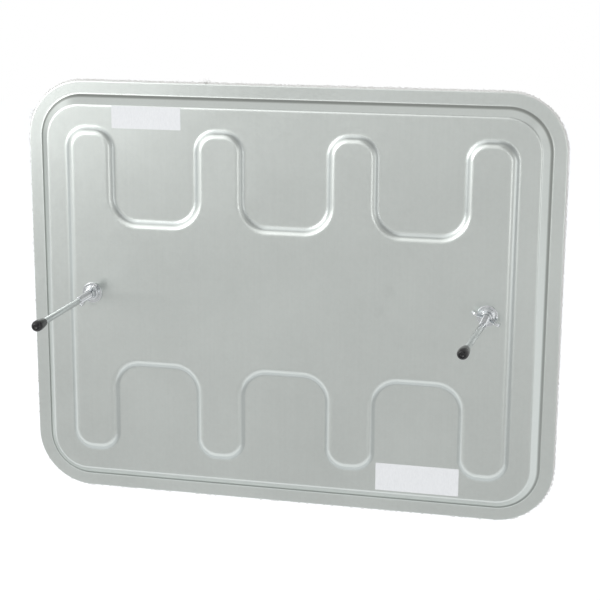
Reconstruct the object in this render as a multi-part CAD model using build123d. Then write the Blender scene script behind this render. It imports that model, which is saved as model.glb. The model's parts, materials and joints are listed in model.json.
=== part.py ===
from build123d import *
from math import atan2, cos, degrees, radians, tan
import os

# Sandwich access door for an 18 x 14 in duct opening, in millimetres.
# X runs to the right, Z up and Y into the duct. The origin is the centre of the
# opening, on the outer face of the duct wall, which is the back of the gasket.

# Driving dimensions: the pressed panels
door_width = 482.6
door_height = 381.0
corner_radius = 50.8
sheet = 1.2
flange_width = 11.4
tray_rise = 9.0
tray_wall_run = 8.6
tray_base_radius = 1.5
tray_rim_radius = 3.0
plateau_rise = 3.0
plateau_wall_run = 3.6
plateau_radius = 4.0
step_margin = 3.0

# Driving dimensions: the fingers of the raised plateau, to the middle of its step
finger_count = 4
finger_width = 39.4
finger_side_margin = 21.6
finger_end_margin = 22.2
finger_corner_radius = 16.0
lobe_floor = 65.0
lobe_corner_radius = 24.0
plain_corner_radius = 28.0

# Driving dimensions: gasket and the gap that takes the duct wall
gasket_thickness = 6.0
gasket_width = 13.0
gasket_overhang = 0.8
gasket_joint_gap = 0.4
gasket_joint_x = -75.0
wall_gap = 6.0

# Driving dimensions: studs and what is on them
thread_diameter = 6.35
thread_depth = 0.85
thread_end_reach = 48.0
stud_reach = 143.4
stud_tip_chamfer = 0.8
shank_root = 1.0
shank_lean_left = 0.0
shank_lean_right = 3.0
head_diameter = 14.6
head_height = 3.6
head_edge = 0.6
neck_clearance = 0.15
hole_clearance = 0.6
bore_clearance = 0.05
seat_clearance = 0.1

washer_diameter = 18.6
washer_clearance = 1.55
washer_thickness = 1.65

wing_base_diameter = 13.6
wing_base_height = 2.0
wing_hub_diameter = 10.8
wing_hub_top_diameter = 9.6
wing_hub_height = 8.0
wing_spread = 27.0
wing_height = 12.0
wing_thickness = 2.6
wing_tip_radius = 4.0
wing_edge_bevel = 0.6
wing_root_radius = 2.6
wing_angle_left = 54.0
wing_angle_right = -24.0

nut_across_flats = 11.1
nut_height = 5.6
nut_chamfer = 0.7
lock_washer_diameter = 12.4
lock_washer_clearance = 0.25
lock_washer_thickness = 1.6
lock_washer_slit = 1.0
lock_washer_slant = 20.0

spring_wire = 1.8
spring_base_diameter = 26.0
spring_top_diameter = 12.4
spring_coils = 4
spring_grind = 0.5

cap_length = 17.5
cap_mouth_diameter = 7.4
cap_tip_diameter = 10.2
cap_end_wall = 2.4
cap_end_radius = 4.2
cap_mouth_bevel = 0.3
cap_dimple_radius = 2.0
cap_dimple_depth = 0.7

label_thickness = 0.15
label_corner_radius = 0.6
label_upper_width = 64.0
label_upper_inset = 94.0
label_upper_clearance = 0.2
label_lower_height = 25.5
label_lower_inset = 15.3
label_lower_shift = 1.8
label_lower_clearance = 2.8

# Sizes across the panel that follow from the driving dimensions
rim_x = door_width / 2 - flange_width - tray_wall_run
rim_z = door_height / 2 - flange_width - tray_wall_run
finger_reach = rim_z - finger_end_margin
finger_pitch = (2 * (rim_x - finger_side_margin) - finger_width) / (finger_count - 1)
lobe_width = finger_pitch - finger_width
stud_x = (finger_count - 1) / 2 * finger_pitch

# Sizes that fit the stud's thread
shank_diameter = thread_diameter - thread_depth
neck_side = thread_diameter + neck_clearance
washer_bore = thread_diameter + washer_clearance
lock_washer_bore = thread_diameter + lock_washer_clearance

# Labels: the upper one fills the strip between the rim and a finger, the lower one a lobe
label_strip = finger_end_margin - plateau_wall_run / 2
label_upper_size = (label_upper_width, label_strip - 2 * label_upper_clearance)
label_upper_centre = (label_upper_inset - rim_x, rim_z - label_strip / 2)
label_lower_size = (lobe_width - 2 * label_lower_clearance, label_lower_height)
label_lower_centre = ((finger_count / 2 - 1) * finger_pitch + label_lower_shift, label_lower_inset - rim_z)

# Places along Y that follow from the driving dimensions
plateau_height = tray_rise + plateau_rise
flange_front = -gasket_thickness - sheet
tray_front = flange_front - tray_rise
plateau_front = flange_front - plateau_height
outer_inside = plateau_front + sheet
inner_seat = wall_gap
inner_flange_back = inner_seat + sheet
inner_back = inner_flange_back + plateau_height
inner_inside = inner_back - sheet
washer_front = plateau_front - washer_thickness
stud_tip = flange_front - stud_reach
thread_end = flange_front - thread_end_reach


def out_of_duct(y, solid):
    """Places a shape built along +Z so that it starts at y and points out of the duct."""
    return Pos(0, y, 0) * Rot(90, 0, 0) * solid


def into_duct(y, solid):
    """Places a shape built along +Z so that it starts at y and points into the duct."""
    return Pos(0, y, 0) * Rot(-90, 0, 0) * solid


def door_outline(inset):
    """Rounded rectangle of the door, moved inwards by inset."""
    width = door_width - 2 * inset
    height = door_height - 2 * inset
    return RectangleRounded(width, height, corner_radius - inset)


def plain_plateau(grow):
    """Plateau of the inner panel, a rounded rectangle, its step moved outwards by grow."""
    width = (finger_count - 1) * finger_pitch + finger_width + 2 * grow
    height = 2 * (finger_reach + grow)
    return RectangleRounded(width, height, plain_corner_radius + grow)


def fingered_plateau(grow):
    """Plateau of the outer panel, with fingers up and down, its step moved outwards by grow."""
    half = finger_width / 2 + grow
    reach = finger_reach + grow
    floor = lobe_floor + grow
    tip = finger_corner_radius + grow
    lobe = lobe_corner_radius - grow
    points = []
    radii = []
    for i in range(finger_count):
        x = (i - (finger_count - 1) / 2) * finger_pitch
        if i > 0:
            points.append((x - half, floor))
            radii.append(lobe)
        points += [(x - half, reach), (x + half, reach)]
        radii += [tip, tip]
        if i < finger_count - 1:
            points.append((x + half, floor))
            radii.append(lobe)
    points += [(x, -z) for x, z in reversed(points)]
    radii += list(reversed(radii))
    return make_face(FilletPolyline(*points, radius=radii, close=True))


def step_section(rise, run, foot_radius, crest_radius):
    """Cross-section of a pressed step: low flat, hollow radius, wall, round radius, high flat."""
    wall_angle = atan2(run, rise)
    back_shift = sheet * (1 / cos(wall_angle) - tan(wall_angle))
    low = run / 2 + step_margin
    high = -run / 2 - step_margin
    front = FilletPolyline(
        (low, 0), (run / 2, 0), (-run / 2, rise), (high, rise),
        radius=[foot_radius, crest_radius])
    back = Polyline(
        (high, rise - sheet), (-run / 2 - back_shift, rise - sheet),
        (run / 2 - back_shift, -sheet), (low, -sheet))
    return make_face([front, Line(front @ 1, back @ 0), back, Line(back @ 1, front @ 0)])


def pressed_step(outline, section, level):
    """Carries a step's section round the middle line of the step, low side outwards."""
    path = outline.face().outer_wire()
    start = path @ 0
    outward = (path % 0).cross(Vector(0, 0, 1))
    if outline.face().is_inside(start + outward):
        outward = -outward
    frame = Plane(origin=start, x_dir=outward, z_dir=outward.cross(Vector(0, 0, 1)))
    return Pos(0, 0, level) * sweep(frame * section, path=path)


def pressed_panel(plateau_outline):
    """Pressed sheet with the flange's front face at z = 0, rising along +Z."""
    wall_middle = flange_width + tray_wall_run / 2
    wall_half = tray_wall_run / 2 + step_margin
    step_half = plateau_wall_run / 2 + step_margin
    wall_section = step_section(tray_rise, tray_wall_run, tray_base_radius, tray_rim_radius)
    step = step_section(plateau_rise, plateau_wall_run, plateau_radius, plateau_radius)
    flange = extrude(door_outline(0) - door_outline(wall_middle - wall_half), -sheet)
    floor = extrude(door_outline(wall_middle + wall_half) - plateau_outline(step_half), -sheet)
    plateau = extrude(plateau_outline(-step_half), -sheet)
    panel = flange + pressed_step(door_outline(wall_middle), wall_section, 0)
    panel += Pos(0, 0, tray_rise) * floor
    panel += pressed_step(plateau_outline(0), step, tray_rise)
    panel += Pos(0, 0, plateau_height) * plateau
    return panel


def at_studs(shape):
    """One copy of the shape on each stud's axis."""
    return [Pos(x, 0, 0) * shape for x in (-stud_x, stud_x)]


def outer_panel():
    """Pressed outer door with a clearance hole for each stud."""
    hole = Cylinder(thread_diameter / 2 + hole_clearance, 4 * plateau_height)
    return out_of_duct(flange_front, pressed_panel(fingered_plateau) - at_studs(hole))


def inner_panel():
    """Plainer pressing that rises into the duct, with square holes for the studs' necks."""
    side = neck_side + 2 * bore_clearance
    hole = Box(side, side, 4 * plateau_height)
    return into_duct(inner_flange_back, pressed_panel(plain_plateau) - at_studs(hole))


def outer_gasket():
    """Flat fibre tape laid round the back of the flange, its two ends nearly meeting."""
    ring = door_outline(-gasket_overhang) - door_outline(gasket_width - gasket_overhang)
    joint = Pos(gasket_joint_x, door_height / 2) * Rectangle(gasket_joint_gap, 2 * gasket_width)
    return out_of_duct(0, extrude(ring - joint, gasket_thickness))


def disc(diameter, bore, thickness):
    """Flat ring that stands on z = 0."""
    return extrude(Circle(diameter / 2) - Circle(bore / 2), thickness)


def leaning(shape, bend, lean):
    """Tilts a shape built along +Z to the left by lean degrees, about its axis at the height of the bend."""
    return Pos(0, 0, bend) * Rot(0, -lean, 0) * Pos(0, 0, -bend) * shape


def stud(lean):
    """Carriage bolt: domed head, square neck, thread and a slim shank that leans from the thread's end."""
    rim = head_diameter / 2
    dome = make_face([
        Line((0, 0), (rim, 0)),
        Line((rim, 0), (rim, -head_edge)),
        TangentArc((0, -head_height), (rim, -head_edge), tangent=(1, 0)),
        Line((0, -head_height), (0, 0))])
    head = revolve(Plane.XZ * dome, Axis.Z)
    neck = extrude(Rectangle(neck_side, neck_side), sheet - seat_clearance)
    thread = extrude(Circle(thread_diameter / 2), inner_back - thread_end)
    thread_lead = (thread_diameter - shank_diameter) / 2
    thread = chamfer(thread.edges().group_by(Axis.Z)[-1], thread_lead)
    bend = inner_back - thread_end
    shank = extrude(Circle(shank_diameter / 2), thread_end - stud_tip + shank_root)
    shank = chamfer(shank.edges().group_by(Axis.Z)[-1], stud_tip_chamfer)
    shank = leaning(Pos(0, 0, bend - shank_root) * shank, bend, lean)
    return out_of_duct(inner_back, head + neck + thread + shank)


def flat_washer():
    """Plain washer that lies on the front of the plateau."""
    return out_of_duct(plateau_front, disc(washer_diameter, washer_bore, washer_thickness))


def lock_washer():
    """Split spring washer between the inner panel and its nut."""
    ring = disc(lock_washer_diameter, lock_washer_bore, lock_washer_thickness)
    slit = Box(lock_washer_diameter, lock_washer_slit, 4 * lock_washer_thickness)
    slit = Pos(lock_washer_diameter / 2, 0, 0) * Rot(lock_washer_slant, 0, 0) * slit
    return out_of_duct(inner_inside, ring - slit)


def retaining_nut():
    """Hexagon nut, chamfered all round, that holds the stud to the inner panel."""
    across_corners = nut_across_flats / cos(radians(30))
    hexagon = extrude(RegularPolygon(nut_across_flats / 2, 6, major_radius=False), nut_height)
    blank = extrude(Circle(across_corners / 2), nut_height)
    blank = chamfer(blank.edges().group_by(Axis.Z)[-1], nut_chamfer, 2 * nut_chamfer)
    bore = Cylinder(thread_diameter / 2 + bore_clearance, 4 * nut_height)
    return out_of_duct(inner_inside - lock_washer_thickness, (hexagon & blank) - bore)


def wing_nut(angle):
    """Forged wing nut: a round base, a conical hub and two wings swept up and outwards."""
    base = extrude(Circle(wing_base_diameter / 2), wing_base_height)
    base = chamfer(base.edges().group_by(Axis.Z)[-1], wing_edge_bevel)
    hub = Cone(wing_hub_diameter / 2, wing_hub_top_diameter / 2, wing_hub_height,
               align=(Align.CENTER, Align.CENTER, Align.MIN))
    hub = chamfer(hub.edges().group_by(Axis.Z)[-1], wing_edge_bevel)
    root = Pos(wing_root_radius, wing_root_radius + wing_base_height / 2) * Circle(wing_root_radius)
    tip = Pos(wing_spread / 2 - wing_tip_radius, wing_height - wing_tip_radius) * Circle(wing_tip_radius)
    leaf = make_hull([*root.edges(), *tip.edges()])
    wing = extrude(Plane.XZ * leaf, wing_thickness / 2, both=True)
    wing = chamfer(wing.edges(), wing_edge_bevel)
    bore = Cylinder(thread_diameter / 2 + bore_clearance, 4 * wing_height)
    nut = base + hub + wing + Rot(0, 0, 180) * wing - bore
    return out_of_duct(washer_front - seat_clearance, Rot(0, 0, angle) * nut)


def conical_spring():
    """Ground conical spring, wide on the inner panel and narrow on the outer one."""
    seat = inner_inside - seat_clearance
    length = seat - outer_inside - seat_clearance
    narrowing = (spring_base_diameter - spring_top_diameter) / 2
    rise = length - spring_wire + 2 * spring_grind
    path = Helix(rise / spring_coils, rise, spring_base_diameter / 2,
                 center=(0, 0, spring_wire / 2 - spring_grind),
                 cone_angle=-degrees(atan2(narrowing, rise)))
    section = Plane(origin=path @ 0, z_dir=path % 0) * RegularPolygon(spring_wire / 2, 8)
    wire = sweep(section, path=path)
    ground = Pos(0, 0, length / 2) * Box(2 * spring_base_diameter, 2 * spring_base_diameter, length)
    return out_of_duct(seat, wire & ground)


def end_cap(lean):
    """Soft moulded cap, pushed over the stud's tip, widening to a domed end with a dimple."""
    mouth = stud_tip - seat_clearance - cap_end_wall + cap_length
    body = Cone(cap_mouth_diameter / 2, cap_tip_diameter / 2, cap_length,
                align=(Align.CENTER, Align.CENTER, Align.MIN))
    body = fillet(body.edges().group_by(Axis.Z)[-1], cap_end_radius)
    body = chamfer(body.edges().group_by(Axis.Z)[0], cap_mouth_bevel)
    bore = extrude(Circle(shank_diameter / 2 + bore_clearance), cap_length - cap_end_wall)
    dimple = Pos(0, 0, cap_length + cap_dimple_radius - cap_dimple_depth) * Sphere(cap_dimple_radius)
    return out_of_duct(mouth, leaning(body - bore - dimple, mouth - thread_end, lean))


def label(size, centre):
    """Thin blank label stuck to the front of the tray's floor."""
    plate = extrude(RectangleRounded(*size, label_corner_radius), label_thickness)
    return Pos(centre[0], 0, centre[1]) * out_of_duct(tray_front, plate)


nodes = {
    "outer_panel": outer_panel(),
    "outer_gasket": outer_gasket(),
    "inner_panel": inner_panel(),
    "label_upper": label(label_upper_size, label_upper_centre),
    "label_lower": label(label_lower_size, label_lower_centre),
}
for side, x, wing_angle, lean in (
    ("left", -stud_x, wing_angle_left, shank_lean_left),
    ("right", stud_x, wing_angle_right, shank_lean_right),
):
    here = Pos(x, 0, 0)
    nodes["stud_" + side] = here * stud(lean)
    nodes["lock_washer_" + side] = here * lock_washer()
    nodes["retaining_nut_" + side] = here * retaining_nut()
    nodes["spring_" + side] = here * conical_spring()
    nodes["flat_washer_" + side] = here * flat_washer()
    nodes["wing_nut_" + side] = here * wing_nut(wing_angle)
    nodes["end_cap_" + side] = here * end_cap(lean)

os.makedirs("parts", exist_ok=True)
for name, solid in nodes.items():
    export_step(solid, f"parts/{name}.step")
    print(name, round(solid.volume, 1))
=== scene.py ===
# %% [markdown]
# An access door for a hot air duct, built around its CAD frame
#
# The real product is a sandwich of two pressed sheets. The outer one covers the opening, the inner one
# sits inside the duct, and two long studs with wing nuts pull them together over the duct's wall.
# The CAD model is loaded first and never changed. It says where each piece is and which body it moves
# with. Every visible piece below is modelled again with finer form, or keeps its CAD mesh, and gets a
# material made of nodes.

import json
import math
import random

import bmesh
import bpy
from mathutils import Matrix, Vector

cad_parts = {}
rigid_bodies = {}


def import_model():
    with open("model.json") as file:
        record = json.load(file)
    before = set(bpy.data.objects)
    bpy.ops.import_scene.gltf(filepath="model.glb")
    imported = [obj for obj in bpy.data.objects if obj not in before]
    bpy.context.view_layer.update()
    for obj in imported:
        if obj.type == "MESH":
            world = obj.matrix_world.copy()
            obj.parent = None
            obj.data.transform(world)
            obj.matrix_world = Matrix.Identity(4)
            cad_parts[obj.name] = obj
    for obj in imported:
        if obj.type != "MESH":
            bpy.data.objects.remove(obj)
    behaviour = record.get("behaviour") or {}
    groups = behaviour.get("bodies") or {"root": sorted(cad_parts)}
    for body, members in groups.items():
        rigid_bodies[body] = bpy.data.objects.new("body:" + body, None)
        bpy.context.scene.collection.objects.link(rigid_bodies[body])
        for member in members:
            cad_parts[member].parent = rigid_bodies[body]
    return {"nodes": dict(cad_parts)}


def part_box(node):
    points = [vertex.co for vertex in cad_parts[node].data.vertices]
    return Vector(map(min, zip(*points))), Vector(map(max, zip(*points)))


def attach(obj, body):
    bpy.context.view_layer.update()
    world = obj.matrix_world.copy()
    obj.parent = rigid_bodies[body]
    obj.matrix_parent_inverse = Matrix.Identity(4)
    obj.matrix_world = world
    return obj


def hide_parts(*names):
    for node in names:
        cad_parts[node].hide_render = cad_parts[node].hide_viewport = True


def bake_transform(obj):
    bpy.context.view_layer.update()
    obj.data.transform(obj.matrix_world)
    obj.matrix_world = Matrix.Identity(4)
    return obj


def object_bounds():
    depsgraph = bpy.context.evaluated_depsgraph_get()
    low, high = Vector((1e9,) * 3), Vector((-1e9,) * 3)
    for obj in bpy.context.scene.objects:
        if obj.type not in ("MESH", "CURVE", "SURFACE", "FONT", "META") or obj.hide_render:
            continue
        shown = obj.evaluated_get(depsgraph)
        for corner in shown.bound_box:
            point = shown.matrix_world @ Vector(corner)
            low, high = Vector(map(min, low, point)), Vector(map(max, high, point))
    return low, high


bpy.ops.object.select_all(action="SELECT")
bpy.ops.object.delete()
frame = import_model()
cad_low, cad_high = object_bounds()
mm = 0.001
print("CAD box in mm:", [round(side / mm, 1) for side in cad_high - cad_low])

# %% [markdown]
# The sizes that the looks share
#
# The frame gives the place of every node, so most sizes are read from its boxes. The radii and runs of
# the pressings aren't in a box, so they are named here once, in millimetres turned into metres.

# %% Sizes of the pressings
panel_low, panel_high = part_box("outer_panel")
inner_low, inner_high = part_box("inner_panel")
gasket_low, gasket_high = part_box("outer_gasket")
door_width = panel_high.x - panel_low.x
door_height = panel_high.z - panel_low.z
sheet = 1.2 * mm
corner_radius = 50.8 * mm
flange_width = 11.4 * mm
tray_rise = 9.0 * mm
tray_wall_run = 8.6 * mm
tray_base_radius = 1.5 * mm
tray_rim_radius = 3.0 * mm
plateau_rise = 3.0 * mm
plateau_wall_run = 4.2 * mm
plateau_radius = 8.0 * mm
flat_margin = 1.0 * mm
finger_count = 4
finger_pitch = 120.0 * mm
finger_width = 39.4 * mm
finger_reach = 148.3 * mm
finger_corner_radius = 16.0 * mm
lobe_floor = 65.0 * mm
lobe_corner_radius = 24.0 * mm
plain_corner_radius = 28.0 * mm
washer_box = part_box("flat_washer_right")
stud_x = (washer_box[0].x + washer_box[1].x) / 2
plateau_height = tray_rise + plateau_rise
flange_front = panel_high.y - sheet
plateau_front = flange_front - plateau_height
inner_flange_back = inner_low.y + sheet
print("door in mm:", round(door_width / mm, 1), "x", round(door_height / mm, 1))
print("studs at x =", round(stud_x / mm, 2), "mm")

# %% [markdown]
# The camera
#
# The photograph looks at the outside of the door from a little right of the middle and from above. A
# camera was fitted to the door's corners: it aims near the middle from 1.35 m away. Blender's camera looks
# along its own -Z, so a direction is turned into angles by to_track_quat, and the small roll is added after.

# %% Camera
camera_aim = Vector((0.01153, -0.00720, 0.00126))
camera_place = Vector((0.30866, -1.29076, 0.31111))
camera_roll = math.radians(0.35)
camera_lens = 90.93

bpy.ops.object.select_all(action="DESELECT")
bpy.ops.object.camera_add(location=camera_place)
camera = bpy.context.object
camera.name = "camera"
camera.rotation_euler = (camera_aim - camera_place).to_track_quat("-Z", "Y").to_euler()
camera.rotation_euler.rotate_axis("Z", camera_roll)
camera.data.lens = camera_lens
camera.data.clip_start = 0.05
bpy.context.scene.camera = camera
bpy.context.view_layer.update()
axes = camera.matrix_world.to_3x3().transposed()
print("camera right", [round(v, 5) for v in axes[0]], "down", [round(-v, 5) for v in axes[1]])

# %% [markdown]
# Helpers for modelling by hand
#
# Operators act on whatever is selected, so each helper first says plainly which piece is active and which
# part of it is picked. Faces and edges are picked by a test on their place, never by a stored number.

# %% Helpers: pick and finish
def deselect_all():
    """Leaves edit mode with nothing selected, ready for a new primitive."""
    if bpy.context.mode != "OBJECT":
        bpy.ops.object.mode_set(mode="OBJECT")
    bpy.ops.object.select_all(action="DESELECT")


def activate(piece):
    """Makes one piece the only selected one, in object mode."""
    deselect_all()
    piece.select_set(True)
    bpy.context.view_layer.objects.active = piece


def edit(piece):
    """Opens a piece in edit mode with nothing picked."""
    activate(piece)
    bpy.ops.object.mode_set(mode="EDIT")
    bpy.ops.mesh.select_all(action="DESELECT")


def pick(piece, kind, test):
    """Picks the verts, edges or faces of the edited piece for which the test holds."""
    bpy.ops.mesh.select_mode(type={"verts": "VERT", "edges": "EDGE", "faces": "FACE"}[kind])
    bpy.ops.mesh.select_all(action="DESELECT")
    mesh = bmesh.from_edit_mesh(piece.data)
    for part in getattr(mesh, kind):
        part.select_set(bool(test(part)))
    bmesh.update_edit_mesh(piece.data)


def middle(part):
    """Middle point of an edge or a face."""
    return sum((corner.co for corner in part.verts), Vector()) / len(part.verts)


def finish_with(piece, kind, **settings):
    """Adds a modifier, sets it and applies it."""
    activate(piece)
    bpy.ops.object.modifier_add(type=kind)
    modifier = piece.modifiers[-1]
    for setting, value in settings.items():
        setattr(modifier, setting, value)
    bpy.ops.object.modifier_apply(modifier=modifier.name)


def face_outwards(piece):
    """Closes doubles and turns every face outwards."""
    edit(piece)
    bpy.ops.mesh.select_all(action="SELECT")
    bpy.ops.mesh.remove_doubles(threshold=0.002 * mm)
    bpy.ops.mesh.normals_make_consistent(inside=False)
    bpy.ops.object.mode_set(mode="OBJECT")


def settle(piece, place=(0, 0, 0), turn=(0, 0, 0)):
    """Moves a piece to its place and writes that into its mesh."""
    activate(piece)
    piece.location = place
    piece.rotation_euler = turn
    bpy.ops.object.transform_apply(location=True, rotation=True, scale=True)


def smooth(piece, degrees=35):
    """Smooth shading, with edges kept where faces meet at more than the angle."""
    activate(piece)
    bpy.ops.object.shade_smooth_by_angle(angle=math.radians(degrees))


def copy_of(piece, name, place):
    """A copy with its own mesh, moved."""
    activate(piece)
    bpy.ops.object.duplicate()
    twin = bpy.context.object
    twin.name = name
    twin.data.name = name
    settle(twin, place)
    return twin


def wear(piece, material, body, slot, *nodes):
    """Gives a new piece its material, the body it rides on and the nodes it stands for. The slot is not used."""
    piece.data.materials.clear()
    piece.data.materials.append(material)
    if body:
        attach(piece, body)
    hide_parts(*nodes)
    faces = len(piece.data.polygons)
    print(piece.name, "has", faces, "faces")


# %% [markdown]
# Materials: how their nodes are written
#
# A finish is a Principled shader whose colour, roughness and bump come from noise on Object coordinates.
# They are metres on every piece, so a grain scale of 400 is a grain of 2.5 mm. A sheet, a bolt and a cap
# would be one flat colour in a quick stand-in. Two or three layers at different scales make them real.

# %% Helpers: nodes
class Finish:
    """A material and the few calls that build its nodes."""

    def __init__(self, name, **constants):
        self.material = bpy.data.materials.new(name)
        self.material.use_nodes = True
        self.tree = self.material.node_tree
        self.shader = self.tree.nodes["Principled BSDF"]
        for socket, value in constants.items():
            self.shader.inputs[socket.replace("_", " ")].default_value = value
        self.place = self.node("ShaderNodeTexCoord").outputs["Object"]

    def node(self, kind, **settings):
        made = self.tree.nodes.new(kind)
        for setting, value in settings.items():
            setattr(made, setting, value)
        return made

    def link(self, start, end):
        self.tree.links.new(start, end)

    def stretch(self, x, y, z):
        """Object coordinates, multiplied, so that a pattern is stretched."""
        mapping = self.node("ShaderNodeMapping")
        mapping.inputs["Scale"].default_value = (x, y, z)
        self.link(self.place, mapping.inputs["Vector"])
        return mapping.outputs["Vector"]

    def noise(self, scale, detail=2.0, roughness=0.5, place=None):
        made = self.node("ShaderNodeTexNoise")
        made.inputs["Scale"].default_value = scale
        made.inputs["Detail"].default_value = detail
        made.inputs["Roughness"].default_value = roughness
        self.link(place or self.place, made.inputs["Vector"])
        return made.outputs["Fac"]

    def cells(self, scale, place=None):
        """One random grey for each crystal."""
        made = self.node("ShaderNodeTexVoronoi")
        made.inputs["Scale"].default_value = scale
        self.link(place or self.place, made.inputs["Vector"])
        grey = self.node("ShaderNodeRGBToBW")
        self.link(made.outputs["Color"], grey.inputs["Color"])
        return grey.outputs["Val"]

    def between(self, fac, low, high, start=0.0, end=1.0):
        """Maps a pattern from start..end to low..high."""
        made = self.node("ShaderNodeMapRange")
        made.inputs["From Min"].default_value = start
        made.inputs["From Max"].default_value = end
        made.inputs["To Min"].default_value = low
        made.inputs["To Max"].default_value = high
        self.link(fac, made.inputs["Value"])
        return made.outputs["Result"]

    def add(self, *values):
        """Sum of several patterns."""
        total = values[0]
        for value in values[1:]:
            made = self.node("ShaderNodeMath", operation="ADD")
            self.link(total, made.inputs[0])
            self.link(value, made.inputs[1])
            total = made.outputs["Value"]
        return total

    def times(self, first, second):
        """Product of two colours."""
        made = self.node("ShaderNodeVectorMath", operation="MULTIPLY")
        self.link(first, made.inputs[0])
        self.link(second, made.inputs[1])
        return made.outputs["Vector"]

    def colours(self, fac, *stops):
        """A colour ramp: pairs of a position and a colour."""
        ramp = self.node("ShaderNodeValToRGB")
        elements = ramp.color_ramp.elements
        for position, colour in stops[1:-1]:
            elements.new(position).color = (*colour, 1.0)
        elements[0].position, elements[0].color = stops[0][0], (*stops[0][1], 1.0)
        elements[len(elements) - 1].position = stops[-1][0]
        elements[len(elements) - 1].color = (*stops[-1][1], 1.0)
        self.link(fac, ramp.inputs["Fac"])
        return ramp.outputs["Color"]

    def bump(self, height, distance, strength=1.0, under=None):
        made = self.node("ShaderNodeBump")
        made.inputs["Distance"].default_value = distance
        made.inputs["Strength"].default_value = strength
        self.link(height, made.inputs["Height"])
        if under:
            self.link(under, made.inputs["Normal"])
        return made.outputs["Normal"]

    def set(self, socket, value):
        self.link(value, self.shader.inputs[socket])


# %% [markdown]
# Galvanised sheet
#
# Door skins are cut from hot-dip galvanised coil. The zinc is satin, almost without spangle, with a faint
# grain, fine lines along the rolling direction and soft cloudy tones. Here the cloud comes from large
# noise, the crystals from Voronoi cells, and the rolling lines from noise stretched along Z. A few darker
# smudges are what hands leave on zinc. The fold at the foot of the tray's wall gets a dark line of painted
# shade, and the softer fold at the plateau's foot a faint line of painted shade. Both go by their place along Y.

# %% Material: galvanised sheet
# Painted shade in the folds, where the bends lie in shade: start height along Y, fade length and grey.
painted_fold_shades = (
    (0.0, 3.4 * mm, (0.46, 0.46, 0.45)),
    (tray_rise, 1.9 * mm, (0.80, 0.81, 0.82)),
)


def painted_crease_shade(finish, start, fade, grey):
    """Painted shade in a fold that begins at start, counted along Y from the mounting plane, and then fades out."""
    split = finish.node("ShaderNodeSeparateXYZ")
    finish.link(finish.place, split.inputs["Vector"])
    away = finish.node("ShaderNodeMath", operation="ABSOLUTE")
    finish.link(split.outputs["Y"], away.inputs[0])
    way = finish.between(away.outputs["Value"], 0.0, 1.0, start, start + fade)
    unshaded = (1.0, 1.0, 1.0)
    return finish.colours(way, (0.02, unshaded), (0.12, grey), (0.55, grey), (1.0, unshaded))


def galvanised_sheet(name, dark, light):
    finish = Finish(name, Metallic=1.0)
    cloud = finish.noise(7.0, 4.0, 0.6)
    crystals = finish.cells(420.0)
    rolling = finish.noise(1.0, 3.0, 0.6, finish.stretch(520.0, 520.0, 7.0))
    smudges = finish.noise(16.0, 5.0, 0.7)
    tone = finish.add(
        finish.between(cloud, -0.32, 0.32, 0.3, 0.7),
        finish.between(smudges, 0.0, -0.55, 0.64, 0.74),
        finish.between(crystals, -0.16, 0.16),
        finish.between(rolling, -0.14, 0.14, 0.25, 0.75))
    bare = finish.colours(finish.between(tone, 0.0, 1.0, -0.8, 0.8), (0.0, dark), (1.0, light))
    # The sheet's colour is darkened by painted shade in each fold.
    for level, fade, grey in painted_fold_shades:
        bare = finish.times(bare, painted_crease_shade(finish, inner_flange_back + level, fade, grey))
    finish.set("Base Color", bare)
    finish.set("Roughness", finish.add(
        finish.between(crystals, 0.29, 0.33), finish.between(cloud, -0.02, 0.02, 0.3, 0.7)))
    waves = finish.bump(finish.noise(9.0, 1.0), 0.7 * mm, 0.5)
    finish.set("Normal", finish.bump(finish.add(rolling, crystals), 0.008 * mm, 0.6, waves))
    return finish.material


outer_zinc = galvanised_sheet("satin_zinc_sheet", (0.585, 0.617, 0.594), (0.665, 0.700, 0.675))

# %% [markdown]
# Bright zinc on bolts and nuts
#
# Studs, wing nuts and washers are zinc plated: brighter and bluer than the sheet, with tiny pits and
# duller patches where the plating is thin.

# %% Material: zinc plated hardware
def bright_zinc(name, colour_low, colour_high, roughness_low, roughness_high):
    finish = Finish(name, Metallic=1.0)
    patches = finish.noise(90.0, 4.0, 0.6)
    pits = finish.noise(1600.0, 2.0)
    finish.set("Base Color", finish.colours(patches, (0.3, colour_low), (0.7, colour_high)))
    finish.set("Roughness", finish.between(patches, roughness_low, roughness_high, 0.3, 0.7))
    finish.set("Normal", finish.bump(pits, 0.004 * mm, 0.4))
    return finish.material


zinc = bright_zinc("bright_zinc_plate", (0.60, 0.62, 0.63), (0.70, 0.72, 0.73), 0.08, 0.16)
spring_steel = bright_zinc("oiled_spring_wire", (0.30, 0.30, 0.30), (0.46, 0.45, 0.44), 0.28, 0.42)

# %% [markdown]
# Black vinyl, label film and fibre tape
#
# The end caps are dip-moulded vinyl: black, slightly matt, with a soft sheen and dust in the pores. The
# labels are coated paper film. The gasket is a woven tape of ceramic fibre, chalky white and very rough.

# %% Material: vinyl, film and tape
vinyl_finish = Finish("dipped_vinyl", Metallic=0.0, Specular_IOR_Level=0.45)
dust = vinyl_finish.noise(260.0, 5.0, 0.7)
vinyl_finish.set("Base Color", vinyl_finish.colours(
    dust, (0.50, (0.003, 0.003, 0.004)), (0.74, (0.036, 0.034, 0.031))))
vinyl_finish.set("Roughness", vinyl_finish.between(dust, 0.12, 0.30, 0.3, 0.7))
vinyl_finish.set("Normal", vinyl_finish.bump(vinyl_finish.noise(900.0, 3.0), 0.04 * mm, 0.6))
vinyl = vinyl_finish.material

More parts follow.
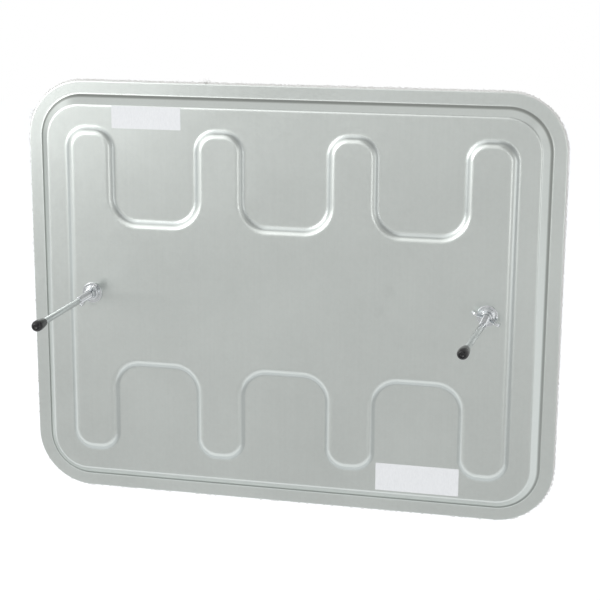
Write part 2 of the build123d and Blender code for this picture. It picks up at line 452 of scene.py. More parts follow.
film_finish = Finish("coated_label", Metallic=0.0, Specular_IOR_Level=0.4, Coat_Weight=0.15, Coat_Roughness=0.3)
fibres = film_finish.noise(1.0, 4.0, 0.6, film_finish.stretch(900.0, 900.0, 300.0))
film_finish.set("Base Color", film_finish.colours(fibres, (0.3, (0.715, 0.72, 0.722)), (0.7, (0.765, 0.77, 0.772))))
film_finish.set("Roughness", film_finish.between(fibres, 0.42, 0.55, 0.3, 0.7))
film_finish.set("Normal", film_finish.bump(film_finish.noise(60.0, 2.0), 0.05 * mm, 0.5))
film = film_finish.material

tape_finish = Finish("woven_fibre", Metallic=0.0, Specular_IOR_Level=0.2, Sheen_Weight=0.3, Sheen_Roughness=0.6)
lint = tape_finish.noise(700.0, 4.0, 0.7)
tape_finish.set("Base Color", tape_finish.colours(lint, (0.3, (0.62, 0.61, 0.58)), (0.7, (0.84, 0.83, 0.80))))
tape_finish.set("Roughness", tape_finish.between(lint, 0.85, 1.0))
tape_finish.set("Normal", tape_finish.bump(lint, 0.25 * mm, 0.8))
tape = tape_finish.material

# %% [markdown]
# The pressed panels
#
# A press forms the door from one flat sheet: a flange, a tray wall, the tray's floor and a raised plateau
# with four fingers up and down. The same form comes from one flat face here. Its corners are bevelled,
# then the face is inset and raised again and again along the section of each step, as the die would push
# it. An inset keeps the same distance all round, so corners stay true arcs.

# %% The section of a pressed step
def step_points(rise, run, foot_radius, crest_radius, parts):
    """Inset and height along a step, measured from the middle of its wall: hollow foot, then round crest."""
    slope = math.atan2(rise, run)
    foot = foot_radius * math.tan(slope / 2)
    crest = crest_radius * math.tan(slope / 2)
    turns = [slope * i / parts for i in range(parts + 1)]
    low = [(-run / 2 - foot + foot_radius * math.sin(t), foot_radius * (1 - math.cos(t))) for t in turns]
    high = [(run / 2 + crest - crest_radius * math.sin(t), rise - crest_radius * (1 - math.cos(t)))
            for t in reversed(turns)]
    return low + high


tray_step = step_points(tray_rise, tray_wall_run, tray_base_radius, tray_rim_radius, 4)
plateau_step = step_points(plateau_rise, plateau_wall_run, plateau_radius, plateau_radius, 7)
print("the tray's step runs from", round(tray_step[0][0] / mm, 2), "to", round(tray_step[-1][0] / mm, 2), "mm")

# %% Outlines as flat faces
corner_parts = 20
hole_collar = 2.0 * mm


def rounded_plate(name, width, height, radius):
    """A flat face with rounded corners."""
    deselect_all()
    bpy.ops.mesh.primitive_plane_add(size=1)
    plate = bpy.context.object
    plate.name = name
    plate.scale = (width, height, 1)
    settle(plate)
    edit(plate)
    bpy.ops.mesh.select_all(action="SELECT")
    bpy.ops.mesh.bevel(offset=radius, segments=corner_parts, affect="VERTICES")
    return plate


def fingered_plate(name, grow):
    """The plateau's outline, with fingers up and down, moved outwards by grow."""
    half = finger_width / 2 + grow
    reach = finger_reach + grow
    floor = lobe_floor + grow
    middles = [(i - (finger_count - 1) / 2) * finger_pitch for i in range(finger_count)]
    deselect_all()
    bpy.ops.mesh.primitive_plane_add(size=2)
    plate = bpy.context.object
    plate.name = name
    plate.scale = (middles[-1] + half, floor, 1)
    settle(plate)
    edit(plate)
    for x in [m - half for m in middles[1:]] + [m + half for m in middles[:-1]]:
        bpy.ops.mesh.select_all(action="SELECT")
        bpy.ops.mesh.bisect(plane_co=(x, 0, 0), plane_no=(1, 0, 0))
    for way in (-1, 1):
        pick(plate, "edges", lambda e: middle(e).y * way > 0.99 * floor
             and any(abs(middle(e).x - m) < 0.1 * half for m in middles))
        bpy.ops.mesh.extrude_region_move(TRANSFORM_OT_translate={"value": (0, way * (reach - floor), 0)})
    bpy.ops.mesh.select_mode(type="FACE")
    bpy.ops.mesh.select_all(action="SELECT")
    bpy.ops.mesh.dissolve_limited(angle_limit=math.radians(1))
    pick(plate, "verts", lambda v: abs(v.co.y) > 0.99 * reach)
    bpy.ops.mesh.bevel(offset=finger_corner_radius + grow, segments=corner_parts, affect="VERTICES")
    pick(plate, "verts", lambda v: abs(abs(v.co.y) - floor) < 0.01 * floor and abs(v.co.x) < middles[-1])
    bpy.ops.mesh.bevel(offset=lobe_corner_radius - grow, segments=corner_parts, affect="VERTICES")
    return plate


# %% Press a panel
def press(plate, section, start, level):
    """Insets the one face of a plate along a section that begins at start, then takes the face away."""
    edit(plate)
    bpy.ops.mesh.select_mode(type="FACE")
    bpy.ops.mesh.select_all(action="SELECT")
    last_inset, last_height = 0.0, 0.0
    ways = [(flat_margin, 0.0), (start, 0.0)] if start > 0 else []
    ways += [(start + inset - section[0][0] + flat_margin, height) for inset, height in section]
    ways.append((ways[-1][0] + flat_margin, ways[-1][1]))
    for inset, height in ways:
        bpy.ops.mesh.inset(thickness=inset - last_inset, use_even_offset=True)
        bpy.ops.transform.translate(value=(0, 0, height - last_height))
        last_inset, last_height = inset, height
    bpy.ops.mesh.delete(type="ONLY_FACE")
    settle(plate, (0, 0, level))


def close_flat(piece, height):
    """Fills the flat between all open outlines at one height."""
    pick(piece, "edges", lambda e: e.is_boundary and max(abs(v.co.z - height) for v in e.verts) < 0.01 * mm)
    bpy.ops.mesh.fill(use_beauty=True)


def pressed_panel(name, plateau, hole_radius, hole_corners, hole_turn):
    """A pressed sheet that rises along +Z from its flange, with a hole for each stud."""
    tray = rounded_plate(name, door_width, door_height, corner_radius)
    tray_foot = flange_width + tray_wall_run / 2 + tray_step[0][0]
    press(tray, tray_step, tray_foot - flat_margin, 0.0)
    press(plateau, plateau_step, 0.0, tray_rise)
    activate(tray)
    plateau.select_set(True)
    bpy.ops.object.join()
    edit(tray)
    for x in (-stud_x, stud_x):
        bpy.ops.mesh.primitive_circle_add(vertices=hole_corners, radius=hole_radius + hole_collar,
                                          location=(x, 0, plateau_height), rotation=(0, 0, hole_turn),
                                          fill_type="NGON")
    for level in (tray_rise, plateau_height):
        close_flat(tray, level)
    pick(tray, "faces", lambda f: len(f.verts) == hole_corners and f.calc_area() > hole_radius ** 2
         and min(abs(middle(f).x - x) for x in (-stud_x, stud_x)) < hole_radius)
    bpy.ops.mesh.inset(thickness=hole_collar * math.cos(math.pi / hole_corners), use_individual=True)
    bpy.ops.mesh.delete(type="ONLY_FACE")
    bpy.ops.mesh.select_all(action="SELECT")
    bpy.ops.mesh.normals_make_consistent(inside=False)
    bpy.ops.object.mode_set(mode="OBJECT")
    if min(tray.data.polygons, key=lambda f: f.center.z).normal.z < 0:
        edit(tray)
        bpy.ops.mesh.select_all(action="SELECT")
        bpy.ops.mesh.flip_normals()
    finish_with(tray, "SOLIDIFY", thickness=sheet, offset=-1, use_even_offset=True)
    finish_with(tray, "BEVEL", width=0.25 * mm, segments=2, limit_method="ANGLE", angle_limit=math.radians(50))
    smooth(tray)
    return tray


# %% Outer panel
stud_hole_radius = 3.775 * mm
plateau_grow = -plateau_step[0][0] + flat_margin
outer = pressed_panel("outer_skin", fingered_plate("outer_plateau", plateau_grow), stud_hole_radius, 32, 0)
settle(outer, (0, flange_front, 0), (math.radians(90), 0, 0))
wear(outer, outer_zinc, "outer_door", "galvanised_sheet", "outer_panel")
outer_low, outer_high = [Vector(c) for c in (outer.bound_box[0], outer.bound_box[6])]
print("outer skin in mm:", [round(v / mm, 2) for v in outer_low], [round(v / mm, 2) for v in outer_high])

# %% [markdown]
# The inner panel
#
# It is the same pressing turned round, with a plain plateau that keeps it stiff and square holes that stop
# the studs from turning.

# %% Inner panel
neck_side = 6.6 * mm
plain_width = (finger_count - 1) * finger_pitch + finger_width + 2 * plateau_grow
plain_height = 2 * (finger_reach + plateau_grow)
plain = rounded_plate("inner_plateau", plain_width, plain_height, plain_corner_radius + plateau_grow)
inner = pressed_panel("inner_skin", plain, neck_side / math.sqrt(2), 4, math.radians(45))
settle(inner, (0, inner_flange_back, 0), (math.radians(-90), 0, 0))
wear(inner, outer_zinc, "inner_door", "galvanised_sheet", "inner_panel")

# %% [markdown]
# The gasket
#
# A flat tape woven from white ceramic fibre is glued round the back of the flange, its two ends meeting
# at the top. Seen from the front only its frayed edge shows, so the tape gets rounded edges and real
# loops of yarn, and the weave itself is bump. A face is inset in rows, cut at the joint and thickened.

# %% The tape
gasket_width = 13.0 * mm
gasket_rows = 6
gasket_overhang = (gasket_high.x - gasket_low.x - door_width) / 2
gasket_thickness = gasket_high.y - gasket_low.y
gasket_joint_x = -75.0 * mm
gasket_joint_gap = 0.4 * mm
tape_width = door_width + 2 * gasket_overhang
tape_height = door_height + 2 * gasket_overhang
tape_radius = corner_radius + gasket_overhang

ring = rounded_plate("gasket_ring", tape_width, tape_height, tape_radius)
pick(ring, "edges", lambda e: e.calc_length() > 100 * mm)
bpy.ops.mesh.subdivide(number_cuts=110)
bpy.ops.mesh.select_mode(type="FACE")
bpy.ops.mesh.select_all(action="SELECT")
for row in range(gasket_rows):
    bpy.ops.mesh.inset(thickness=gasket_width / gasket_rows, use_even_offset=True)
bpy.ops.mesh.delete(type="ONLY_FACE")
for side in (-1, 1):
    pick(ring, "faces", lambda f: middle(f).y > 0)
    bpy.ops.mesh.bisect(plane_co=(gasket_joint_x + side * gasket_joint_gap / 2, 0, 0), plane_no=(1, 0, 0))
pick(ring, "faces", lambda f: middle(f).y > 0 and abs(middle(f).x - gasket_joint_x) < gasket_joint_gap / 2)
bpy.ops.mesh.delete(type="FACE")
finish_with(ring, "SOLIDIFY", thickness=gasket_thickness, offset=-1)
finish_with(ring, "BEVEL", width=1.6 * mm, segments=3, limit_method="ANGLE", angle_limit=math.radians(60))
lumps = bpy.data.textures.new("tape_lumps", "CLOUDS")
lumps.noise_scale = 5 * mm
finish_with(ring, "DISPLACE", texture=lumps, texture_coords="LOCAL", strength=0.5 * mm, mid_level=0.7)
settle(ring, (0, gasket_low.y, 0), (math.radians(90), 0, 0))
smooth(ring, 60)

# %% [markdown]
# Frayed edge
#
# The weft yarn turns back at the tape's edge in small loops, and broken fibres stick out between them.
# Both are thin curves along the outline: a point that walks round the rounded rectangle says where each
# one starts. The random draws are seeded, so every run gives the same edge.

# %% Yarn loops and loose fibres
def edge_point(way):
    """Point and outward direction at a distance along the gasket's outer outline, from the top middle."""
    half_w, half_h, r = tape_width / 2, tape_height / 2, tape_radius
    arc = math.pi / 2 * r
    runs = [(half_w - r, 0), (arc, 1), (2 * (half_h - r), 2), (arc, 3), (2 * (half_w - r), 4), (arc, 5),
            (2 * (half_h - r), 6), (arc, 7), (half_w - r, 8)]
    total = sum(run for run, kind in runs)
    way = way % total
    for run, kind in runs:
        if way <= run:
            break
        way -= run
    if kind in (0, 4, 8):
        x = {0: way, 4: half_w - r - way, 8: -(half_w - r) + way}[kind]
        up = -1 if kind == 4 else 1
        return Vector((x, 0, up * half_h)), Vector((0, 0, up))
    if kind in (2, 6):
        z = half_h - r - way if kind == 2 else -(half_h - r) + way
        out = 1 if kind == 2 else -1
        return Vector((out * half_w, 0, z)), Vector((out, 0, 0))
    start = {1: math.pi / 2, 3: 0.0, 5: -math.pi / 2, 7: math.pi}[kind]
    turn = start - way / r
    centre = Vector(((half_w - r) * (1 if kind in (1, 3) else -1), 0, (half_h - r) * (1 if kind in (1, 7) else -1)))
    out = Vector((math.cos(turn), 0, math.sin(turn)))
    return centre + out * r, out


def yarn(name, strands, thickness):
    """Many short round strands as one mesh."""
    curve = bpy.data.curves.new(name, "CURVE")
    curve.dimensions = "3D"
    curve.bevel_depth = thickness / 2
    curve.bevel_resolution = 0
    curve.resolution_u = 3
    curve.use_fill_caps = True
    for points in strands:
        spline = curve.splines.new("NURBS")
        spline.points.add(len(points) - 1)
        for slot, point in zip(spline.points, points):
            slot.co = (*point, 1.0)
        spline.order_u = 3
        spline.use_endpoint_u = True
    piece = bpy.data.objects.new(name, curve)
    bpy.context.scene.collection.objects.link(piece)
    activate(piece)
    bpy.ops.object.convert(target="MESH")
    return bpy.context.object


outline_length = 2 * (tape_width + tape_height) - (8 - 2 * math.pi) * tape_radius
draw = random.Random(7)
loops = []
loop_pitch = 2.6 * mm
for i in range(int(outline_length / loop_pitch)):
    way = i * loop_pitch + draw.uniform(-0.4, 0.4) * mm
    depth = draw.uniform(-5.2, -0.8) * mm
    reach = draw.uniform(0.3, 1.0) * mm
    half = draw.uniform(0.8, 1.3) * mm
    foot, out = edge_point(way - half)
    crown, crown_out = edge_point(way)
    heel, heel_out = edge_point(way + half)
    deep = Vector((0, depth, 0))
    lift = Vector((0, draw.uniform(-0.5, 0.5) * mm, 0))
    loops.append([foot - out * 0.8 * mm + deep, foot + out * 0.5 * reach + deep + lift,
                  crown + crown_out * reach + deep + lift, heel + heel_out * 0.5 * reach + deep - lift,
                  heel - heel_out * 0.8 * mm + deep])


def loose_fibre(way, length):
    """A broken fibre that leaves the tape's edge and wanders."""
    foot, out = edge_point(way)
    point = foot - out * 0.6 * mm + Vector((0, draw.uniform(-5.4, -0.6) * mm, 0))
    heading = out + Vector([draw.uniform(-0.9, 0.9) for axis in range(3)])
    points = [point]
    for step in range(4):
        heading = (heading + Vector([draw.uniform(-0.6, 0.6) for axis in range(3)])).normalized()
        point = point + heading * length / 4
        points.append(point)
    return points


fibres = [loose_fibre(draw.uniform(0, outline_length), draw.uniform(1.2, 3.2) * mm) for i in range(620)]
joint_way = gasket_joint_x % outline_length
corner_way = outline_length - (tape_width / 2 - tape_radius) - 0.75 * math.pi / 2 * tape_radius
for tuft in (joint_way, corner_way):
    fibres += [loose_fibre(tuft + draw.uniform(-3, 3) * mm, draw.uniform(3, 6) * mm) for i in range(22)]
loop_yarn = yarn("gasket_loops", loops, 0.55 * mm)
fibre_yarn = yarn("gasket_fibres", fibres, 0.16 * mm)
for piece, replaced in ((ring, ["outer_gasket"]), (loop_yarn, []), (fibre_yarn, [])):
    wear(piece, tape, "outer_door", "fibre_tape", *replaced)

# %% [markdown]
# Turned pieces
#
# Washers, bolt heads and caps are round, so each is drawn as half a section and turned about Z with the
# Screw modifier. A small bevel rounds the edges, which is what makes turned metal glint. Z becomes the
# way out of the duct when the piece is settled.

# %% A turned piece
out_of_duct = (math.radians(90), 0, 0)


def section(name, profile, closed):
    """The half section as a line of points: radius and height."""
    count = len(profile)
    edges = [(i, i + 1) for i in range(count - 1)] + ([(count - 1, 0)] if closed else [])
    mesh = bpy.data.meshes.new(name)
    mesh.from_pydata([(radius, 0, height) for radius, height in profile], edges, [])
    piece = bpy.data.objects.new(name, mesh)
    bpy.context.scene.collection.objects.link(piece)
    return piece


def turned(name, profile, closed=True, steps=48, bevel=0.0):
    """A piece of revolution about Z."""
    piece = section(name, profile, closed)
    finish_with(piece, "SCREW", angle=2 * math.pi, steps=steps, render_steps=steps, screw_offset=0,
                use_merge_vertices=True, merge_threshold=0.002 * mm)
    face_outwards(piece)
    if bevel:
        finish_with(piece, "BEVEL", width=bevel, segments=3, limit_method="ANGLE", angle_limit=math.radians(40))
    smooth(piece, 30)
    return piece


def join(first, *others):
    """Makes several pieces one."""
    activate(first)
    for other in others:
        other.select_set(True)
    bpy.ops.object.join()
    return first


# %% Flat washers
washer_low, washer_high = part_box("flat_washer_left")
washer_radius = (washer_high.x - washer_low.x) / 2
washer_bore = 7.9 * mm / 2
washer_thickness = washer_high.y - washer_low.y
washer = turned("washer_blank", [(washer_bore, 0), (washer_radius, 0), (washer_radius, washer_thickness),
                                 (washer_bore, washer_thickness)], bevel=0.3 * mm, steps=64)
settle(washer, (0, washer_high.y, 0), out_of_duct)
for side, x in (("left", -stud_x), ("right", stud_x)):
    wear(copy_of(washer, "washer_" + side, (x, 0, 0)), zinc, "outer_door", "zinc_hardware", "flat_washer_" + side)
bpy.data.objects.remove(washer)

# %% [markdown]
# Wing nuts
#
# The nuts are forged: a round base, a conical hub and two wings that lean outwards, with no sharp edge
# anywhere. Base and hub are turned. A wing is the hull round two discs. The parts are then fused by a
# voxel remesh and smoothed, which rounds every joint as forging does.

# %% Wing nut
nut_low, nut_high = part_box("wing_nut_left")
nut_seat = nut_high.y
nut_base_radius = 6.8 * mm
nut_base_height = 2.0 * mm
hub_radius = 5.4 * mm
hub_top_radius = 4.8 * mm
hub_height = 8.0 * mm
nut_bore = 3.0 * mm
wing_reach = 13.5 * mm
wing_height = nut_high.y - nut_low.y
wing_thickness = 2.4 * mm
wing_tip_radius = 4.0 * mm
wing_root_radius = 2.6 * mm
wing_angles = {"left": 54.0, "right": -24.0}
fuse_voxel = 0.28 * mm


def wing(name, way):
    """One wing: the hull round a disc at its root and a disc at its tip."""
    tip = Vector((way * (wing_reach - wing_tip_radius), 0, wing_height - wing_tip_radius))
    root = Vector((way * wing_root_radius, 0, wing_root_radius + nut_base_height / 2))
    discs = []
    for place, radius in ((tip, wing_tip_radius), (root, wing_root_radius)):
        deselect_all()
        bpy.ops.mesh.primitive_cylinder_add(vertices=40, radius=radius, depth=wing_thickness)
        discs.append(bpy.context.object)
        settle(discs[-1], place, (math.radians(90), 0, 0))
    piece = join(*discs)
    piece.name = name
    edit(piece)
    bpy.ops.mesh.select_all(action="SELECT")
    bpy.ops.mesh.convex_hull()
    bpy.ops.object.mode_set(mode="OBJECT")
    return piece


nut = turned("nut_blank", [(0, 0), (nut_base_radius, 0), (nut_base_radius, nut_base_height),
                           (0, nut_base_height)], closed=False)
hub = turned("nut_hub", [(0, 0), (hub_radius, 0), (hub_top_radius, hub_height), (0, hub_height)], closed=False)
nut = join(nut, hub, wing("wing_a", 1), wing("wing_b", -1))
finish_with(nut, "REMESH", mode="VOXEL", voxel_size=fuse_voxel)
finish_with(nut, "SMOOTH", factor=0.5, iterations=5)
bore = turned("nut_bore", [(0, -1 * mm), (nut_bore, -1 * mm), (nut_bore, wing_height), (0, wing_height)], closed=False)
finish_with(nut, "BOOLEAN", operation="DIFFERENCE", object=bore, solver="EXACT")
bpy.data.objects.remove(bore)
smooth(nut, 40)
for side, x in (("left", -stud_x), ("right", stud_x)):
    turn = math.radians(wing_angles[side])
    piece = copy_of(nut, "wing_nut_forged_" + side, (0, 0, 0))
    settle(piece, (0, 0, 0), (0, 0, turn))
    settle(piece, (x, nut_seat, 0), out_of_duct)
    wear(piece, zinc, "wing_nut_" + side, "zinc_hardware", "wing_nut_" + side)
bpy.data.objects.remove(nut)

# %% [markdown]
# Studs
#
# Each stud is a carriage bolt with a domed head, a square neck, rolled threads and a long slim shank. A
# real thread is a helix, so one pitch of its section is swept by the Screw modifier, turn after turn, and
# both ends are cut flat. The right shank leans a little to the left, as in the photograph.

# %% Stud
stud_low, stud_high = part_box("stud_left")
inner_back = inner_high.y
thread_end = flange_front - 48.0 * mm
head_radius = 7.3 * mm
head_height = stud_high.y - inner_back
head_edge = 0.6 * mm
neck = 6.5 * mm
thread_radius = 6.35 * mm / 2
thread_pitch = 1.27 * mm
thread_depth = 0.62 * mm
shank_radius = 5.5 * mm / 2
shank_tip_bevel = 0.8 * mm
thread_length = inner_back - thread_end
shank_length = thread_end - stud_low.y
leans = {"left": 0.0, "right": math.radians(3.0)}


def helix_thread(name):
    """Rolled thread, closed at both ends."""
    root = thread_radius - thread_depth
    piece = section(name, [(root, 0), (thread_radius, 0.40 * thread_pitch), (thread_radius, 0.54 * thread_pitch),
                           (root, 0.94 * thread_pitch), (root, thread_pitch)], False)
    turns = int(thread_length / thread_pitch) + 3
    finish_with(piece, "SCREW", angle=2 * math.pi, steps=24, render_steps=24, screw_offset=thread_pitch,
                iterations=turns, use_merge_vertices=True, merge_threshold=0.002 * mm)
    face_outwards(piece)
    edit(piece)
    for height, way in ((thread_pitch, -1), (thread_pitch + thread_length, 1)):
        bpy.ops.mesh.select_all(action="SELECT")
        bpy.ops.mesh.bisect(plane_co=(0, 0, height), plane_no=(0, 0, way), use_fill=True, clear_outer=True)
    settle(piece, (0, 0, -thread_pitch))
    face_outwards(piece)
    smooth(piece, 50)
    return piece


def carriage_head(name):
    """Low domed head below z = 0 and the square neck above it."""
    dome = ((head_radius ** 2) + (head_height - head_edge) ** 2) / (2 * (head_height - head_edge))
    arc = [head_radius * i / 10 for i in range(11)]
    profile = [(r, dome - head_height - math.sqrt(dome ** 2 - r ** 2)) for r in arc] + [(head_radius, 0), (0, 0)]
    piece = turned(name, profile, closed=False, bevel=0.15 * mm)
    deselect_all()
    bpy.ops.mesh.primitive_cube_add(size=1, location=(0, 0, sheet / 2))
    square = bpy.context.object
    square.scale = (neck, neck, sheet)
    settle(square, (0, 0, sheet / 2))
    return join(piece, square)


head = carriage_head("stud_head")
thread = helix_thread("stud_thread")
for side, x in (("left", -stud_x), ("right", stud_x)):
    shank = turned("stud_shank", [(0, -1 * mm), (shank_radius, -1 * mm), (shank_radius, shank_length - shank_tip_bevel),
                                  (shank_radius - shank_tip_bevel, shank_length), (0, shank_length)],
                   closed=False, bevel=0.2 * mm)
    settle(shank, (0, 0, thread_length), (0, -leans[side], 0))
    piece = join(copy_of(head, "bolt_" + side, (0, 0, 0)), copy_of(thread, "thread", (0, 0, 0)), shank)
    settle(piece, (x, inner_back, 0), out_of_duct)
    wear(piece, zinc, "inner_door", "zinc_hardware", "stud_" + side)
bpy.data.objects.remove(head)
bpy.data.objects.remove(thread)

# %% [markdown]
# End caps
#
# Black vinyl caps keep the tips from scratching hands. They are dipped, so they have no seams: a thin
# mouth, a wall that swells towards the end, a round end and a small dimple in its middle.

# %% End caps
cap_low, cap_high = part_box("end_cap_left")
cap_length = cap_high.y - cap_low.y
cap_mouth_radius = 3.7 * mm
cap_tip_radius = (cap_high.x - cap_low.x) / 2
cap_wall = 2.4 * mm
cap_dome = 4.6 * mm
cap_dimple = 2.2 * mm
cap_dimple_depth = 1.1 * mm
cap_bore = shank_radius + 0.05 * mm
swell = [(cap_mouth_radius + (cap_tip_radius - cap_mouth_radius) * math.sin(math.pi / 2 * i / 8),
          0.4 * mm + (cap_length - cap_dome - 0.4 * mm) * i / 8) for i in range(9)]
dome = [(cap_dimple + (cap_tip_radius - cap_dimple) * math.cos(t), cap_length - cap_dome + cap_dome * math.sin(t))
        for t in [math.pi / 2 * i / 10 for i in range(1, 11)]]
dimple = [(cap_dimple * math.cos(t), cap_length - cap_dimple_depth * math.sin(t)) for t in [math.pi / 2 * i / 4 for i in range(1, 5)]]
cap_profile = [(0, cap_length - cap_wall), (cap_bore, cap_length - cap_wall), (cap_bore, 0.2 * mm),
               (cap_bore + 0.2 * mm, 0), (cap_mouth_radius - 0.25 * mm, 0)] + swell + dome + dimple
cap = turned("cap_blank", cap_profile, closed=False, steps=40)
cap_reach = thread_end - cap_high.y
for side, x in (("left", -stud_x), ("right", stud_x)):
    piece = copy_of(cap, "vinyl_cap_" + side, (0, 0, cap_reach))
    settle(piece, (0, 0, 0), (0, -leans[side], 0))
    settle(piece, (x, thread_end, 0), out_of_duct)
    wear(piece, vinyl, "end_cap_" + side, "black_vinyl", "end_cap_" + side)
bpy.data.objects.remove(cap)

# %% [markdown]
# Conical springs
#
# A conical spring on each stud pushes the two panels apart while the wing nut is loose, so that the door
# can be slipped into its opening.

# %% Springs
spring_low, spring_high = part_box("spring_left")
wire = 1.8 * mm
spring_base_radius = 13.0 * mm
spring_top_radius = 6.2 * mm
spring_coils = 4
spring_grind = 0.5 * mm
spring_length = spring_high.y - spring_low.y
rise = spring_length - wire + 2 * spring_grind
steps_per_coil = 36
for side, x in (("left", -stud_x), ("right", stud_x)):
    points = []
    for i in range(spring_coils * steps_per_coil + 1):
        share = i / (spring_coils * steps_per_coil)
        turn = 2 * math.pi * spring_coils * share
        radius = spring_base_radius + (spring_top_radius - spring_base_radius) * share
        points.append((radius * math.cos(turn), radius * math.sin(turn), wire / 2 - spring_grind + rise * share))
    spring = yarn("coil_spring_" + side, [points], wire)
    edit(spring)
    for height, way in ((0, -1), (spring_length, 1)):
        bpy.ops.mesh.select_all(action="SELECT")
        bpy.ops.mesh.bisect(plane_co=(0, 0, height), plane_no=(0, 0, way), use_fill=True, clear_outer=True)
    face_outwards(spring)
    smooth(spring, 50)
    settle(spring, (x, spring_high.y, 0), out_of_duct)
    wear(spring, spring_steel, None, "spring_steel", "spring_" + side)
    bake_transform(spring)

# %% [markdown]
# What keeps its CAD mesh
#
# Labels, lock washers and nuts are already right, so they only get a finish.

# %% Finishes on CAD nodes
kept = {"label_upper": film, "label_lower": film}
for side in ("left", "right"):
    kept["lock_washer_" + side] = zinc
    kept["retaining_nut_" + side] = zinc
for name, material in kept.items():
    node = frame["nodes"][name]
    node.data.materials.clear()
    node.data.materials.append(material)
    print(name, "is finished with", material.name)

# %% [markdown]
# The stage: floor, flags and light
#
# The photograph was taken in a white studio and cut out on white. Metal shows what stands round it, so
# the light is made like a studio's: a white world, soft lamps, and grey flags that only reflections see.
# The flats of the door mirror the room in front and below, which is dimmer than its sides, so flags stand
# there. The steps turn away from them to the white sides, and that draws each bend as a light band. A big
# soft lamp at the upper left whitens the bends that face it, and a card at the upper right keeps the
# opposite corners dark. The floor is white for the camera but still takes a soft shadow.

# %% World
world = bpy.data.worlds.new("studio")
bpy.context.scene.world = world
world.use_nodes = True
tree = world.node_tree
tree.nodes.clear()
paths = tree.nodes.new("ShaderNodeLightPath")
seen = tree.nodes.new("ShaderNodeMath")
seen.operation = "MAXIMUM"
tree.links.new(paths.outputs["Is Camera Ray"], seen.inputs[0])
tree.links.new(paths.outputs["Is Glossy Ray"], seen.inputs[1])
clear = tree.nodes.new("ShaderNodeMath")
clear.operation = "MAXIMUM"
tree.links.new(seen.outputs["Value"], clear.inputs[0])
tree.links.new(paths.outputs["Is Transmission Ray"], clear.inputs[1])
white = tree.nodes.new("ShaderNodeBackground")
white.inputs["Color"].default_value = (1.0, 1.0, 1.0, 1.0)
white.inputs["Strength"].default_value = 1.0
ambient = tree.nodes.new("ShaderNodeBackground")
ambient.inputs["Color"].default_value = (0.95, 0.97, 1.0, 1.0)
ambient.inputs["Strength"].default_value = 0.85
mix = tree.nodes.new("ShaderNodeMixShader")
tree.links.new(clear.outputs["Value"], mix.inputs["Fac"])
tree.links.new(ambient.outputs["Background"], mix.inputs[1])
tree.links.new(white.outputs["Background"], mix.inputs[2])
output = tree.nodes.new("ShaderNodeOutputWorld")
tree.links.new(mix.outputs["Shader"], output.inputs["Surface"])

# %% Floor
floor_drop = 0.30
floor_size = 12.0
deselect_all()
bpy.ops.mesh.primitive_plane_add(size=floor_size, location=(0, 0, cad_low.z - floor_drop))
floor = bpy.context.object
floor.name = "floor"
floor_paint = bpy.data.materials.new("floor_paint")
floor_paint.use_nodes = True
tree = floor_paint.node_tree
paint = tree.nodes["Principled BSDF"]
paint.inputs["Base Color"].default_value = (0.80, 0.80, 0.80, 1.0)
paint.inputs["Roughness"].default_value = 0.9
paint.inputs["Specular IOR Level"].default_value = 0.1
paths = tree.nodes.new("ShaderNodeLightPath")
glow = tree.nodes.new("ShaderNodeEmission")
glow.inputs["Color"].default_value = (1.0, 1.0, 1.0, 1.0)
seen = tree.nodes.new("ShaderNodeMath")
seen.operation = "MAXIMUM"
tree.links.new(paths.outputs["Is Camera Ray"], seen.inputs[0])
tree.links.new(paths.outputs["Is Glossy Ray"], seen.inputs[1])
clear = tree.nodes.new("ShaderNodeMath")
clear.operation = "MAXIMUM"
tree.links.new(seen.outputs["Value"], clear.inputs[0])
tree.links.new(paths.outputs["Is Transmission Ray"], clear.inputs[1])
lift = tree.nodes.new("ShaderNodeMath")
lift.operation = "MULTIPLY"
lift.inputs[1].default_value = 0.34
tree.links.new(clear.outputs["Value"], lift.inputs[0])
tree.links.new(lift.outputs["Value"], glow.inputs["Strength"])
both = tree.nodes.new("ShaderNodeAddShader")
tree.links.new(paint.outputs["BSDF"], both.inputs[0])
tree.links.new(glow.outputs["Emission"], both.inputs[1])
tree.links.new(both.outputs["Shader"], tree.nodes["Material Output"].inputs["Surface"])
floor.data.materials.append(floor_paint)

# %% Flags that reflections see
def card_at(name, place, way, width, height, grey):
    """A grey card at a place, square to a direction, that only reflections see."""
    deselect_all()
    bpy.ops.mesh.primitive_plane_add(size=1, location=place)
    card = bpy.context.object
    card.name = name
    card.scale = (width, height, 1)
    card.rotation_euler = Vector(way).to_track_quat("Z", "Y").to_euler()
    card.visible_camera = False
    card.visible_diffuse = False
    card.visible_shadow = False
    colour = bpy.data.materials.new(name)
    colour.use_nodes = True
    tree = colour.node_tree
    tree.nodes.remove(tree.nodes["Principled BSDF"])
    glow = tree.nodes.new("ShaderNodeEmission")
    glow.inputs["Color"].default_value = (grey, grey, grey, 1.0)
    tree.links.new(glow.outputs["Emission"], tree.nodes["Material Output"].inputs["Surface"])
    card.data.materials.append(colour)


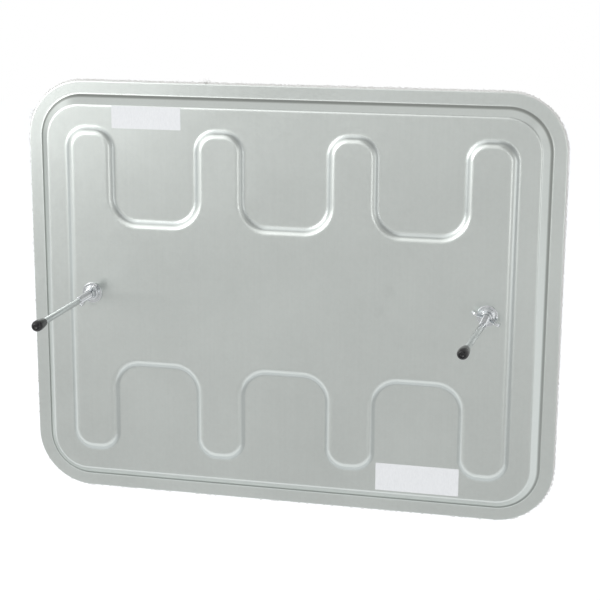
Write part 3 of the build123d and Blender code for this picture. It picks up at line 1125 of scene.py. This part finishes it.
def flag(name, azimuth, elevation, distance, width, height, grey):
    """A card that faces the door from a direction: azimuth 0 is in front, positive is to the right."""
    turn, rise = math.radians(azimuth), math.radians(elevation)
    way = Vector((math.sin(turn) * math.cos(rise), -math.cos(turn) * math.cos(rise), math.sin(rise)))
    card_at(name, way * distance, way, width, height, grey)


floor_z = cad_low.z - floor_drop
card_at("flag_front", (0.4, -3.0, floor_z + 0.47), (0, -1, 0), 6.0, 0.94, 0.68)
card_at("flag_low_front", (-0.3, -1.72, floor_z + 0.01), (0, 0, 1), 4.0, 2.6, 0.66)
card_at("flag_below", (0.0, 0.35, floor_z + 0.01), (0, 0, 1), 2.0, 0.6, 0.62)
flag("flag_right", 38, 0, 2.6, 1.4, 2.0, 0.68)
flag("flag_far_right", 90, 0, 2.6, 2.0, 2.4, 0.84)
flag("flag_high_right", 38, 32, 2.7, 2.6, 2.4, 0.50)
flag("flag_high_front", -20, 62, 2.7, 3.5, 0.8, 0.50)
flag("flag_overhead", 0, 88, 2.2, 3.0, 1.4, 0.85)
flag("flag_behind_left", -115, -12, 3.0, 2.6, 1.6, 0.60)
card_at("flag_back", (0.3, 3.0, floor_z + 0.65), (0, 1, 0), 5.0, 1.3, 0.74)
card_at("flag_low_back", (0.0, 1.85, floor_z + 0.01), (0, 0, 1), 4.0, 2.3, 0.74)

# %% Lamps
def soft_lamp(name, place, aim, width, height, power):
    deselect_all()
    bpy.ops.object.light_add(type="AREA", location=place)
    lamp = bpy.context.object
    lamp.name = name
    lamp.data.shape = "RECTANGLE"
    lamp.data.size = width
    lamp.data.size_y = height
    lamp.data.energy = power
    lamp.rotation_euler = (Vector(aim) - Vector(place)).to_track_quat("-Z", "Y").to_euler()
    return lamp


soft_lamp("lamp_top_left", (-1.64, -1.48, 1.38), (0, 0, 0), 4.0, 2.0, 12)
soft_lamp("lamp_left", (-1.85, -2.3, 0.62), (0, 0, 0), 1.3, 1.3, 18)
soft_lamp("lamp_low_right", (0.92, -2.42, -0.12), (0, 0, 0), 0.5, 0.8, 2.2)
soft_lamp("lamp_far_right", (2.35, -1.2, 0.2), (0, 0, 0), 0.45, 1.4, 1.6)

# %% Colour management
view_settings = bpy.context.scene.view_settings
view_settings.view_transform = "Standard"
